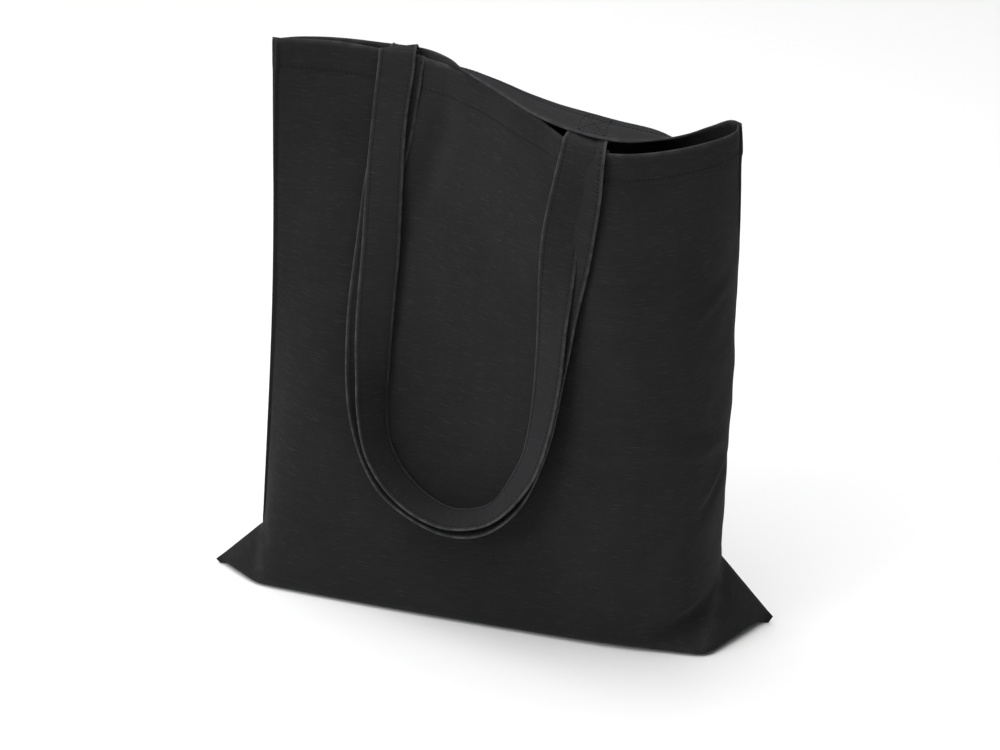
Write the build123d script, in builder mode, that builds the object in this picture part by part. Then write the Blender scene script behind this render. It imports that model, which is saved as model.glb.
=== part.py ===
"""Cotton tote bag with two long shoulder handles, standing with both handles hung over its front."""

from build123d import *
import os
from math import cos, radians, sin

os.makedirs("parts", exist_ok=True)

# ---------------------------------------------------------------------------
# Driving dimensions, in millimetres
# ---------------------------------------------------------------------------
half_span = 154.0  # half the distance between the two side seams
rim_height = 380.0  # height of the front rim above the floor
ear_reach = 35.0  # how far each bottom corner pokes out past its side seam
ear_height = 42.0  # height at which a side seam leaves the body to run down its ear
base_front = 22.0  # distance from the bottom seam forward to the front fold
cloth = 0.8  # thickness of the canvas as it lies
hem_depth = 22.0  # depth of the turned-in top hem
layer_gap = 0.1  # air between two layers of cloth that lie together
running_gap = 0.4  # air between a sewn handle end and the loop that swings on it
strap_width = 25.0
strap_thickness = 1.4
end_depth = 28.0  # length of handle end sewn inside the hem
box_size = 18.0  # side of the crossed square of stitches on each handle end
thread = 0.5  # thickness of a line of sewing thread
thread_gap = 0.35  # from the canvas to a row of stitches on it
bite = 0.2  # how far a wall is let into the floor strip and the ears that it grows from
ear_gap = 2.0  # how far apart the front and back of an ear lie at its tip
seam_gap = 0.3  # air between the two panels along the bottom seam
seam_allowance = 8.0  # width of the overlocked edges inside the bag
seam_setback = 2.6  # how far inside the bag the overlocked edges of a side seam begin
seam_thickness = 0.9
handle_drop = 298.0  # from the front rim down to the middle of the back handle's bend
left_end_x = -71.0  # where the left handle ends are sewn
right_end_x = 70.0  # where the right handle ends are sewn

SAMPLES = 32
mid_height = rim_height * 0.53

# ---------------------------------------------------------------------------
# Plan routes of the two panels: (share of the half span, y), left seam to right seam
# ---------------------------------------------------------------------------
left_tip = Vector(-half_span - ear_reach, 0)
right_tip = Vector(half_span + ear_reach, 41)
front_left = Vector(-half_span + 2, -base_front)
front_right = Vector(half_span + 3, -base_front)
back_left = Vector(-half_span + 4, 14)
back_right = Vector(half_span - 4, 56)

front_low = [(-1.02, 1.5), (-0.95, -12), (-0.72, -20), (-0.26, -24), (0.26, -28), (0.72, -31),
             (0.94, -20), (1.01, 8), (0.99, 35.5)]
front_mid = [(-1.0, 11), (-0.78, 2), (-0.4, 0), (-0.1, -11), (0.24, -32), (0.49, -46), (0.71, -47),
             (0.91, -30), (1.01, 0), (0.995, 23)]
front_top = [(-1.03, 27), (-0.79, 36), (-0.42, 34), (-0.11, 8), (0.23, -38), (0.455, -66),
             (0.57, -70), (0.73, -60), (0.9, -34), (0.99, -9)]
back_low = [(-1.02, 4.5), (-0.75, 15), (-0.3, 22), (0.2, 30), (0.7, 41), (0.92, 46), (0.99, 39)]
back_mid = [(-1.0, 14), (-0.78, 21), (-0.3, 22), (0.2, 14), (0.6, 15), (0.88, 29), (0.995, 27)]
back_top = [(-1.03, 30), (-0.96, 37), (-0.78, 44), (-0.56, 45), (-0.38, 38), (-0.2, 24), (-0.05, 8),
            (0.16, -13), (0.36, -27), (0.56, -34), (0.72, -36), (0.84, -31), (0.93, -17), (0.99, -4.5)]

# Free edge of the back hem where it has flopped forward over the mouth
flap_edge = [(-0.38, 36), (-0.28, 21), (-0.18, 9), (-0.01, -12), (0.19, -39), (0.38, -55), (0.54, -61),
             (0.64, -59), (0.76, -46), (0.82, -34)]

# ---------------------------------------------------------------------------
# Heights of the layers that pile up on the front rim, from the rim upwards
# ---------------------------------------------------------------------------
front_end_level = rim_height + 0.3
back_end_level = front_end_level + strap_thickness + running_gap
flap_level = back_end_level + strap_thickness + layer_gap + bite  # the back wall ends inside the flap
flap_face = flap_level - bite + cloth
loop_top = rim_height - 0.1


# ---------------------------------------------------------------------------
# Helpers
# ---------------------------------------------------------------------------
def plan(shares):
    """Turn (share of half span, y) pairs into evenly spaced points along a smooth curve."""
    curve = Edge.make_spline([Vector(share * half_span, y) for share, y in shares])
    return [curve.position_at(step / SAMPLES) for step in range(SAMPLES + 1)]


def straight(start, end):
    """Evenly spaced points along a straight line."""
    return [start + (end - start) * (step / SAMPLES) for step in range(SAMPLES + 1)]


def route_at(levels, height):
    """Plan route of a panel at a height, between the two levels that enclose it."""
    for (low, low_route), (high, high_route) in zip(levels, levels[1:]):
        if height <= high:
            break
    share = (height - low) / (high - low)
    return [start + (end - start) * share for start, end in zip(low_route, high_route)]


def shifted(route, distance):
    """Move a plan route sideways, to the left of its direction for a positive distance."""
    moved = []
    for index, point in enumerate(route):
        along = route[min(index + 1, len(route) - 1)] - route[max(index - 1, 0)]
        moved.append(point + along.normalized().rotate(Axis.Z, 90) * distance)
    return moved


def point_at(route, x):
    """Point where a plan route crosses a given x."""
    for start, end in zip(route, route[1:]):
        if start.X <= x <= end.X:
            return start + (end - start) * ((x - start.X) / (end.X - start.X))
    raise ValueError("the route does not reach this x")


def stretch(route, low_x, high_x, count=8):
    """Points of a plan route between two x values."""
    return [point_at(route, low_x + (high_x - low_x) * step / count) for step in range(count + 1)]


def band(route, near, far, height):
    """Thin closed strip between two sideways shifts of a plan route, drawn at a height."""
    with BuildSketch(Plane.XY.offset(height)) as strip:
        with BuildLine():
            outer = Spline(*shifted(route, near))
            inner = Spline(*shifted(route, far))
            Line(outer @ 0, inner @ 0)
            Line(outer @ 1, inner @ 1)
        make_face()
    return strip.sketch


def polygon(corners, height):
    """Closed polygon through plan points, drawn at a height."""
    with BuildSketch(Plane.XY.offset(height)) as outline:
        with BuildLine():
            Polyline(*corners, close=True)
        make_face()
    return outline.sketch


def facet(tip, corner, ridge, inward):
    """Flat triangle of an ear, to be thickened towards the inside of the bag."""
    across = (corner - tip).cross(ridge - tip).normalized()
    if across.dot(inward) < 0:
        across = across * -1
    plane = Plane(origin=tip, x_dir=corner - tip, z_dir=across)
    with BuildSketch(plane) as triangle:
        with BuildLine():
            Polyline(*[plane.to_local_coords(point) for point in (tip, corner, ridge)], close=True)
        make_face()
    return triangle.sketch


def strap_body(stations, width, thickness, side=0.0, lift=0.0, ruled=False):
    """Smooth body that follows a strap, with a rectangular section set off from its centre line."""
    sections = []
    for centre, across, facing in stations:
        plane = Plane(origin=centre, x_dir=across, z_dir=across.cross(facing))
        with BuildSketch(plane) as section:
            with Locations((side, lift)):
                Rectangle(width, thickness)
        sections.append(section.sketch)
    loft(sections=sections, ruled=ruled)


def end_facing(turn):
    """Plan direction in which the outer face of a strap looks when it is turned about the vertical."""
    return Vector(sin(radians(turn)), -cos(radians(turn)), 0)


# ---------------------------------------------------------------------------
# Panels
# ---------------------------------------------------------------------------
front_levels = [(bite, shifted(straight(front_left, front_right), bite)), (ear_height, plan(front_low)),
                (mid_height, plan(front_mid)), (rim_height, plan(front_top))]
back_levels = [(bite, shifted(straight(back_left, back_right), -bite)), (ear_height, plan(back_low)),
               (mid_height, plan(back_mid)), (flap_level, plan(back_top))]

seam_start = Vector(-half_span * 0.4, 1)
seam_finish = Vector(half_span * 0.5, 8)


def lower_half(levels, left_corner, right_corner, seam_side):
    """Bottom of a panel: the strip on the floor and the two triangles of its ears."""
    nudge = Vector(0, seam_side * seam_gap / 2)
    outline = [left_tip + nudge, left_corner, right_corner, right_tip + nudge,
               seam_finish + nudge, seam_start + nudge]
    extrude(polygon(outline, 0), amount=cloth)
    low, ridge_route = levels[1]
    lift = Vector(0, 0, cloth)
    for tip, corner, ridge in ((left_tip, left_corner, ridge_route[0]),
                               (right_tip, right_corner, ridge_route[-1])):
        top = ridge + Vector(0, 0, low)
        ear_tip = tip + Vector(0, seam_side * ear_gap / 2) + lift
        extrude(facet(ear_tip, corner + lift, top, Vector(0, -seam_side, 0)), amount=cloth)


# ---------------------------------------------------------------------------
# Panels: each is a wall, a strip of floor and the halves of two ears
# ---------------------------------------------------------------------------
with BuildPart() as front_panel:
    loft(sections=[band(route, 0, cloth, height) for height, route in front_levels], ruled=True)
    lower_half(front_levels, front_left, front_right, -1)
front_panel.part.label = "front_panel"
export_step(front_panel.part, "parts/front_panel.step")

flap_curve = plan(flap_edge)
flap_back = stretch(shifted(back_levels[-1][1], -bite), flap_curve[0].X, flap_curve[-1].X, SAMPLES)

with BuildPart() as back_panel:
    loft(sections=[band(route, 0, -cloth, height) for height, route in back_levels], ruled=True)
    lower_half(back_levels, back_left, back_right, 1)
    with BuildSketch(Plane.XY.offset(flap_level - bite)):
        with BuildLine():
            edge = Spline(*flap_curve)
            fold = Spline(*flap_back)
            Line(edge @ 0, fold @ 0)
            Line(edge @ 1, fold @ 1)
        make_face()
    extrude(amount=cloth)
back_panel.part.label = "back_panel"
export_step(back_panel.part, "parts/back_panel.step")

# ---------------------------------------------------------------------------
# Seams: the two cloth edges sewn and overlocked together inside the bag
# ---------------------------------------------------------------------------
seam_top = rim_height - hem_depth - 4


def seam_bar(height, index, step):
    """Section of a side seam at a height: a bar that points into the bag from the seam."""
    front = route_at(front_levels, height)
    back = route_at(back_levels, height)
    start = (front[index] + back[index]) / 2
    aim = (front[index + step] + back[index + step]) / 2
    along = (aim - start).normalized()
    across = along.rotate(Axis.Z, 90) * (seam_thickness / 2)
    near = start + along * seam_setback
    far = near + along * seam_allowance
    return polygon([near - across, far - across, far + across, near + across], height)


seam_heights = [ear_height + (seam_top - ear_height) * step / 10 for step in range(11)]
with BuildPart() as left_side_seam:
    loft(sections=[seam_bar(height, 0, 1) for height in seam_heights], ruled=True)
left_side_seam.part.label = "left_side_seam"
export_step(left_side_seam.part, "parts/left_side_seam.step")

with BuildPart() as right_side_seam:
    loft(sections=[seam_bar(height, -1, -1) for height in seam_heights], ruled=True)
right_side_seam.part.label = "right_side_seam"
export_step(right_side_seam.part, "parts/right_side_seam.step")

with BuildPart() as bottom_seam:
    across = Vector(0, seam_allowance / 2)
    seam_left = left_tip + (seam_start - left_tip) * 0.35
    seam_right = right_tip + (seam_finish - right_tip) * 0.35
    line = [seam_left, seam_start, seam_finish, seam_right]
    edges = [point - across for point in line] + [point + across for point in reversed(line)]
    extrude(polygon(edges, cloth + layer_gap), amount=seam_thickness)
bottom_seam.part.label = "bottom_seam"
export_step(bottom_seam.part, "parts/bottom_seam.step")

# ---------------------------------------------------------------------------
# Handle loops: (x, height, distance in front of the wall), left end to right end
# ---------------------------------------------------------------------------
front_left_stand = 4.6
front_right_stand = 3.0
strap_pitch = strap_thickness + 2.2  # from one strap to the strap that lies on it, at the ends
back_shift_left = -5.0  # the back handle's ends lie a little beside the front handle's
back_shift_right = -2.0
left_turn = -20.0
right_turn = -28.0
bend_turn = -12.0

bend_height = rim_height - handle_drop
front_stops = [(left_end_x, loop_top, front_left_stand), (left_end_x - 2, 330, 4), (left_end_x - 10, 262, 4),
               (left_end_x - 13, 195, 4), (left_end_x - 7, 135, 4), (left_end_x + 10, bend_height + 20, 4.5),
               (left_end_x + 33, bend_height + 4, 5), (-14, bend_height - 0.5, 6), (9, bend_height + 9, 7),
               (right_end_x - 44, bend_height + 33, 8), (right_end_x - 32, 152, 10), (right_end_x - 25, 203, 12),
               (right_end_x - 18, 257, 10), (right_end_x - 10, 302, 8), (right_end_x - 4, 345, 5),
               (right_end_x, loop_top, front_right_stand)]
back_left_x = left_end_x + back_shift_left
back_right_x = right_end_x + back_shift_right
back_stops = [(back_left_x, loop_top, front_left_stand + strap_pitch), (left_end_x - 7, 335, 7),
              (left_end_x - 6, 255, 8.7), (left_end_x - 7, 190, 9), (left_end_x - 5, 152, 9.6),
              (left_end_x + 1, bend_height + 40, 10), (left_end_x + 14, bend_height + 20, 11),
              (left_end_x + 33, bend_height + 7.5, 11.5), (-15, bend_height + 3, 12), (8, bend_height + 12, 13),
              (right_end_x - 46, bend_height + 29, 14), (right_end_x - 34, 134, 15), (right_end_x - 26, 165, 16.5),
              (right_end_x - 21, 210, 17), (right_end_x - 19, 265, 14.5), (right_end_x - 14, 312, 11.5),
              (right_end_x - 6, 355, 8), (back_right_x, loop_top, front_right_stand + strap_pitch)]


def strap_stations(stops, count=32):
    """Centre, half-width direction and facing of a hanging strap at even steps along it."""
    centres = []
    for x, height, stand in stops:
        wall = point_at(route_at(front_levels, height), x)
        centres.append(Vector(x, wall.Y - stand, height))
    route = Edge.make_spline(centres)
    stations = []
    for step in range(count + 1):
        share = step / count
        end_turn = left_turn if share < 0.5 else right_turn
        turn = bend_turn + (end_turn - bend_turn) * abs(2 * share - 1) ** 2
        along = route.tangent_at(share)
        if step in (0, count):
            along = Vector(0, 0, -1 if step == 0 else 1)
        width = along.cross(end_facing(turn)).normalized()
        stations.append((route.position_at(share), width, width.cross(along).normalized()))
    return stations


front_stations = strap_stations(front_stops)
back_stations = strap_stations(back_stops)
stitch_inset = 2.5
stitch_side = strap_width / 2 - stitch_inset
stitch_lift = strap_thickness / 2 + 2 * layer_gap + thread / 2

with BuildPart() as front_handle:
    strap_body(front_stations, strap_width, strap_thickness)
front_handle.part.label = "front_handle"
export_step(front_handle.part, "parts/front_handle.step")

with BuildPart() as back_handle:
    strap_body(back_stations, strap_width, strap_thickness)
back_handle.part.label = "back_handle"
export_step(back_handle.part, "parts/back_handle.step")

with BuildPart() as front_handle_stitching:
    for side in (-stitch_side, stitch_side):
        strap_body(front_stations[2:-2], thread, thread, side, stitch_lift, ruled=True)
front_handle_stitching.part.label = "front_handle_stitching"
export_step(front_handle_stitching.part, "parts/front_handle_stitching.step")

with BuildPart() as back_handle_stitching:
    for side in (-stitch_side, stitch_side):
        strap_body(back_stations[2:-2], thread, thread, side, stitch_lift, ruled=True)
back_handle_stitching.part.label = "back_handle_stitching"
export_step(back_handle_stitching.part, "parts/back_handle_stitching.step")

# ---------------------------------------------------------------------------
# Handle ends: sewn inside the hem, then over the rim to where the loop swings
# ---------------------------------------------------------------------------
sewn_near = cloth + 0.4
sewn_far = sewn_near + strap_thickness
back_drop = back_end_level - loop_top - running_gap


def strap_footprint(station):
    """Plan corners of the top of a hanging loop: outer left, outer right, inner right, inner left."""
    centre, across, facing = station
    side = Vector(across.X, across.Y).normalized() * (strap_width / 2)
    if side.X < 0:
        side = side * -1
    outward = side.rotate(Axis.Z, -90).normalized() * (strap_thickness / 2)
    middle = Vector(centre.X, centre.Y)
    return [middle - side + outward, middle + side + outward, middle + side - outward, middle - side - outward]


def sewn_strip(levels, centre_x, inward, top):
    """Part of a handle end that is sewn flat to the inside of a wall."""
    sections = []
    for height in (rim_height - end_depth, top):
        route = stretch(route_at(levels, height), centre_x - strap_width / 2, centre_x + strap_width / 2)
        sections.append(band(route, inward * sewn_near, inward * sewn_far, height))
    loft(sections=sections, ruled=True)


def over_rim(levels, centre_x, inward, level, station, drop):
    """Part of a handle end that lies over the front rim and turns down to meet the loop."""
    wall = shifted(levels[-1][1], inward * (sewn_far - bite))
    inner = stretch(wall, centre_x - strap_width / 2, centre_x + strap_width / 2)
    footprint = strap_footprint(station)
    extrude(polygon(footprint[:2] + inner[::-1], level), amount=strap_thickness)
    if drop > 0:
        extrude(polygon(footprint, level - drop), amount=drop + bite)


with BuildPart() as front_handle_left_end:
    sewn_strip(front_levels, left_end_x, 1, front_end_level + bite)
    over_rim(front_levels, left_end_x, 1, front_end_level, front_stations[0], 0)
front_handle_left_end.part.label = "front_handle_left_end"
export_step(front_handle_left_end.part, "parts/front_handle_left_end.step")

with BuildPart() as front_handle_right_end:
    sewn_strip(front_levels, right_end_x, 1, front_end_level + bite)
    over_rim(front_levels, right_end_x, 1, front_end_level, front_stations[-1], 0)
front_handle_right_end.part.label = "front_handle_right_end"
export_step(front_handle_right_end.part, "parts/front_handle_right_end.step")

with BuildPart() as back_handle_left_end:
    sewn_strip(back_levels, back_left_x, -1, back_end_level + bite)
    over_rim(back_levels, back_left_x, -1, back_end_level, back_stations[0], back_drop)
back_handle_left_end.part.label = "back_handle_left_end"
export_step(back_handle_left_end.part, "parts/back_handle_left_end.step")

with BuildPart() as back_handle_right_end:
    over_rim(back_levels, back_right_x, -1, back_end_level, back_stations[-1], back_drop)
back_handle_right_end.part.label = "back_handle_right_end"
export_step(back_handle_right_end.part, "parts/back_handle_right_end.step")

# ---------------------------------------------------------------------------
# Sewing thread of the handle ends and of the hem
# ---------------------------------------------------------------------------
box_margin = 2.0  # from the rim down to the crossed square
box_lift = 0.5  # the square is flat, so it stands clear of the curved wall behind it
box_centre = rim_height - box_margin - box_size / 2
hem_line = rim_height - hem_depth + 1


def crossed_box(plane):
    """Square of stitches with a cross in it, lying on a face."""
    with BuildSketch(plane) as stitches:
        Rectangle(box_size, box_size)
        Rectangle(box_size - 2 * thread, box_size - 2 * thread, mode=Mode.SUBTRACT)
        for turn in (45, -45):
            Rectangle((box_size - thread) * 2 ** 0.5, thread, rotation=turn)
    extrude(stitches.sketch, amount=thread)


def wall_plane(levels, centre_x, outward):
    """Plane against the outer face of a wall, where a handle end is sewn to its inside."""
    route = route_at(levels, box_centre)
    centre = point_at(route, centre_x)
    low = point_at(route, centre_x - box_size / 2)
    high = point_at(route, centre_x + box_size / 2)
    upper = point_at(route_at(levels, box_centre + box_size / 2), centre_x)
    along = (high - low).normalized() * outward
    normal = along.cross(upper + Vector(0, 0, box_size / 2) - centre).normalized()
    return Plane(origin=centre + Vector(0, 0, box_centre) + normal * box_lift, x_dir=along, z_dir=normal)


def wall_thread(levels, low_x, high_x, outward):
    """Row of hem stitches along the outer face of a wall."""
    sections = []
    for height in (hem_line - thread / 2, hem_line + thread / 2):
        route = stretch(route_at(levels, height), low_x, high_x, SAMPLES)
        sections.append(band(route, -outward * thread_gap, -outward * (thread_gap + thread), height))
    loft(sections=sections, ruled=True)


with BuildPart() as front_left_box_stitch:
    crossed_box(wall_plane(front_levels, left_end_x, 1))
front_left_box_stitch.part.label = "front_left_box_stitch"
export_step(front_left_box_stitch.part, "parts/front_left_box_stitch.step")

with BuildPart() as front_right_box_stitch:
    crossed_box(wall_plane(front_levels, right_end_x, 1))
front_right_box_stitch.part.label = "front_right_box_stitch"
export_step(front_right_box_stitch.part, "parts/front_right_box_stitch.step")

with BuildPart() as back_left_box_stitch:
    crossed_box(wall_plane(back_levels, back_left_x, -1))
back_left_box_stitch.part.label = "back_left_box_stitch"
export_step(back_left_box_stitch.part, "parts/back_left_box_stitch.step")

edge_low = point_at(flap_curve, back_right_x - box_size / 2)
edge_high = point_at(flap_curve, back_right_x + box_size / 2)
edge_along = (edge_high - edge_low).normalized()
flap_middle = (edge_low + edge_high) / 2 + edge_along.rotate(Axis.Z, 90) * (box_margin + box_size / 2)
with BuildPart() as back_right_box_stitch:
    crossed_box(Plane(origin=flap_middle + Vector(0, 0, flap_face + layer_gap), x_dir=edge_along, z_dir=(0, 0, 1)))
back_right_box_stitch.part.label = "back_right_box_stitch"
export_step(back_right_box_stitch.part, "parts/back_right_box_stitch.step")

with BuildPart() as front_hem_stitching:
    wall_thread(front_levels, -half_span + 2, half_span * 0.95, 1)
front_hem_stitching.part.label = "front_hem_stitching"
export_step(front_hem_stitching.part, "parts/front_hem_stitching.step")

with BuildPart() as back_hem_stitching:
    wall_thread(back_levels, -half_span + 2, -half_span * 0.4, -1)
    flap_line = stretch(flap_curve, half_span * 0.16, half_span * 0.62)
    extrude(band(flap_line, hem_depth, hem_depth + thread, flap_face + layer_gap), amount=thread)
back_hem_stitching.part.label = "back_hem_stitching"
export_step(back_hem_stitching.part, "parts/back_hem_stitching.step")
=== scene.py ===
"""A soft canvas tote bag that stands slumped on a floor, with both shoulder handles hung over its front."""

from __future__ import annotations

import logging
from dataclasses import dataclass, field
from enum import Enum
from math import cos, pi, radians, sin, sqrt

import bpy
import numpy as np
from mathutils import Matrix, Vector

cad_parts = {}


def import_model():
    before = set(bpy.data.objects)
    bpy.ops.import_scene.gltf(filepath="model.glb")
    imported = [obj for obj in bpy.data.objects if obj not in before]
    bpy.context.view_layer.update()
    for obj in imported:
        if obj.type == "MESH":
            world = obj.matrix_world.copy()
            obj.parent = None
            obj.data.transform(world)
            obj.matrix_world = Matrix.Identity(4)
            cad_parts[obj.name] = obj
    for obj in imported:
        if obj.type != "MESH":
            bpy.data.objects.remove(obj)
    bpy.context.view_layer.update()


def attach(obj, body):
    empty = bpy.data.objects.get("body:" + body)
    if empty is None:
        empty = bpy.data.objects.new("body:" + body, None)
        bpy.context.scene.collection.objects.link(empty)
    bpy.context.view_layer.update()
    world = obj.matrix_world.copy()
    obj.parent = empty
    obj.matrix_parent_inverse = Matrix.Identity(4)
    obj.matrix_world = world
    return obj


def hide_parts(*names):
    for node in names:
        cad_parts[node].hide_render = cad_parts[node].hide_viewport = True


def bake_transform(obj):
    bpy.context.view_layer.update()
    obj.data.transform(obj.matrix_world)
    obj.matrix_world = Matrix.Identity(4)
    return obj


LOG = logging.getLogger("tote_bag")
MM = 0.001

Points = np.ndarray
Spot = tuple[float, float, float]


# ---------------------------------------------------------------------------
# Driving sizes of the cut cloth, in millimetres
# ---------------------------------------------------------------------------
PANEL_WIDTH = 380.0
PANEL_HEIGHT = 410.0
CLOTH = 0.8
HEM_DEPTH = 22.0
HEM_EXTRA = 0.7
HEM_LINE = PANEL_HEIGHT - HEM_DEPTH + 3
CELL = 2.5
STRAP_WIDTH = 25.0
STRAP_THICKNESS = 1.7
STITCH_LENGTH = 2.5
STITCH_PITCH = 3.3
THREAD = 0.5
EDGE_THREAD = 0.42
EDGE_INSET = 3.0
RIDGE = 50.0
END_DEPTH = 28.0
BOX_SIZE = 20.0

# How the cloth is laid and softened
LINE_STEPS = 240
EAR_PUFF = 59.4
FOLD_PASSES = 7
FOLD_PULL = 0.8
FLOOR_OUTSIDE = 0.45
FLOOR_INSIDE = 0.75

TUCK_DEPTH = 1.6
TUCK_WIDTH = 3.2
STITCH_DENT = 0.30


class Side(Enum):
    """Which way the outer face of a panel looks."""

    FRONT = -1
    BACK = 1


class Body(str, Enum):
    """Rigid bodies of the frame that pieces ride on."""

    BAG = "bag"
    FRONT_LOOP = "front_handle_loop"
    BACK_LOOP = "back_handle_loop"


# ---------------------------------------------------------------------------
# Curves
# ---------------------------------------------------------------------------
def knot_tangents(knots: Points, values: Points) -> Points:
    """Tangents that carry a curve smoothly through values at uneven knots.

    Args:
        knots: Rising parameter of each value.
        values: One row for each knot.

    Returns:
        The rate of change at each knot.
    """
    steps = np.diff(knots).reshape((-1,) + (1,) * (values.ndim - 1))
    slopes = np.diff(values, axis=0) / steps
    inner = (slopes[:-1] * steps[1:] + slopes[1:] * steps[:-1]) / (steps[:-1] + steps[1:])
    return np.concatenate([slopes[:1], inner, slopes[-1:]])


def cubic(low: Points, high: Points, rise_low: Points, rise_high: Points, t: Points) -> Points:
    """Cubic between two values, from their rises over the whole step.

    Args:
        low: Value where t is 0.
        high: Value where t is 1.
        rise_low: Rate of change at low.
        rise_high: Rate of change at high.
        t: How far along the step, from 0 to 1.

    Returns:
        The values at t.
    """
    return (low * (2 * t**3 - 3 * t**2 + 1) + rise_low * (t**3 - 2 * t**2 + t)
            + high * (3 * t**2 - 2 * t**3) + rise_high * (t**3 - t**2))


def hermite(knots: Points, values: Points, at: Points) -> Points:
    """Pass a smooth curve through values given at uneven knots.

    Args:
        knots: Rising parameter of each value.
        values: One row for each knot.
        at: Parameters to read the curve at.

    Returns:
        One row for each parameter in at.
    """
    tangents = knot_tangents(knots, values)
    index = np.clip(np.searchsorted(knots, at, side="right") - 1, 0, len(knots) - 2)
    width = np.diff(knots)[index]
    shape = (-1,) + (1,) * (values.ndim - 1)
    t, width = ((at - knots[index]) / width).reshape(shape), width.reshape(shape)
    return cubic(values[index], values[index + 1], tangents[index] * width, tangents[index + 1] * width, t)


def smooth_line(spots: tuple[tuple[float, ...], ...], count: int) -> Points:
    """Evenly spaced points along a smooth curve through a few spots.

    Args:
        spots: Places the curve goes through.
        count: Number of equal steps to cut it into.

    Returns:
        count + 1 points.
    """
    values = np.array(spots, float)
    knots = np.r_[0, np.cumsum(np.sqrt(np.linalg.norm(np.diff(values, axis=0), axis=1)))]
    fine = hermite(knots, values, np.linspace(0, knots[-1], 40 * len(spots)))
    run = run_along(fine)
    return read_at(run, fine, np.linspace(0, run[-1], count + 1))


def read_at(own: Points, line: Points, at: Points) -> Points:
    """Places along a line, at parameters on the same scale as its own."""
    return np.stack([np.interp(at, own, line[:, k]) for k in range(line.shape[1])], axis=-1)


def read_line(line: Points, share: Points) -> Points:
    """Places at shares 0 to 1 of the way along an evenly spaced line."""
    return read_at(np.linspace(0, 1, len(line)), line, share)


def run_along(line: Points) -> Points:
    """Distance from a line's start to each of its points."""
    return np.r_[0, np.cumsum(np.linalg.norm(np.diff(line, axis=0), axis=1))]


def unit(vectors: Points) -> Points:
    """Vectors scaled to length one."""
    return vectors / np.maximum(np.linalg.norm(vectors, axis=-1, keepdims=True), 1e-9)


def bump(distance: Points, width: float) -> Points:
    """Bell-shaped falloff from 1 at no distance."""
    return np.exp(-((distance / width) ** 2))


def ease(value: Points, low: float, high: float) -> Points:
    """Smooth step from 0 at low to 1 at high."""
    t = np.clip((value - low) / (high - low), 0, 1)
    return t * t * (3 - 2 * t)


# ---------------------------------------------------------------------------
# Meshes
# ---------------------------------------------------------------------------
def new_object(name: str, points: Points, faces: list[tuple[int, ...]], cloth: Points,
               edge: Points | None = None) -> bpy.types.Object:
    """Make a smooth-shaded object from points in millimetres.

    Args:
        name: Name of the object and of its mesh.
        points: Vertices in millimetres.
        faces: Vertex numbers of each face.
        cloth: Place of each vertex on its flat cloth, in millimetres.
        edge: How close each vertex lies to an edge that is lightened by wear and a painted highlight, from 0 to 1.

    Returns:
        The linked object.
    """
    mesh = bpy.data.meshes.new(name)
    mesh.from_pydata((points * MM).tolist(), [], faces)
    mesh.validate()
    flat = np.zeros((len(points), 3), np.float32)
    flat[:, :2] = cloth[:, :2] * MM
    attribute = mesh.attributes.new("cloth", "FLOAT_VECTOR", "POINT")
    attribute.data.foreach_set("vector", flat.ravel())
    wear_and_highlight = mesh.attributes.new("edge", "FLOAT", "POINT")
    wear_and_highlight.data.foreach_set("value", (np.zeros(len(points)) if edge is None else edge).astype(np.float32))
    mesh.polygons.foreach_set("use_smooth", [True] * len(mesh.polygons))
    mesh.update()
    piece = bpy.data.objects.new(name, mesh)
    bpy.context.scene.collection.objects.link(piece)
    return piece


def grid_faces(columns: int, rows: int, start: int, flip: bool, wrap: bool = False) -> list[tuple[int, ...]]:
    """Quads of a grid of vertices stored row by row.

    Args:
        columns: Vertices in a row.
        rows: Number of rows.
        start: Number of the grid's first vertex.
        flip: Whether the faces look the other way.
        wrap: Whether the last column joins the first.

    Returns:
        Vertex numbers of each quad.
    """
    faces = []
    for row in range(rows - 1):
        for column in range(columns if wrap else columns - 1):
            a = start + row * columns + column
            b = start + row * columns + (column + 1) % columns
            quad = (a, b, b + columns, a + columns)
            faces.append(quad[::-1] if flip else quad)
    return faces


def grid_normals(grid: Points) -> Points:
    """Unit normals of a grid of points, along the cross of its rows and columns."""
    return unit(np.cross(np.gradient(grid, axis=1), np.gradient(grid, axis=0)))


def border_ring(columns: int, rows: int) -> list[int]:
    """Numbers of the grid's border vertices, once round."""
    bottom = list(range(columns))
    right = [row * columns + columns - 1 for row in range(1, rows)]
    top = [(rows - 1) * columns + column for column in range(columns - 2, -1, -1)]
    left = [row * columns for row in range(rows - 2, 0, -1)]
    return bottom + right + top + left


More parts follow.
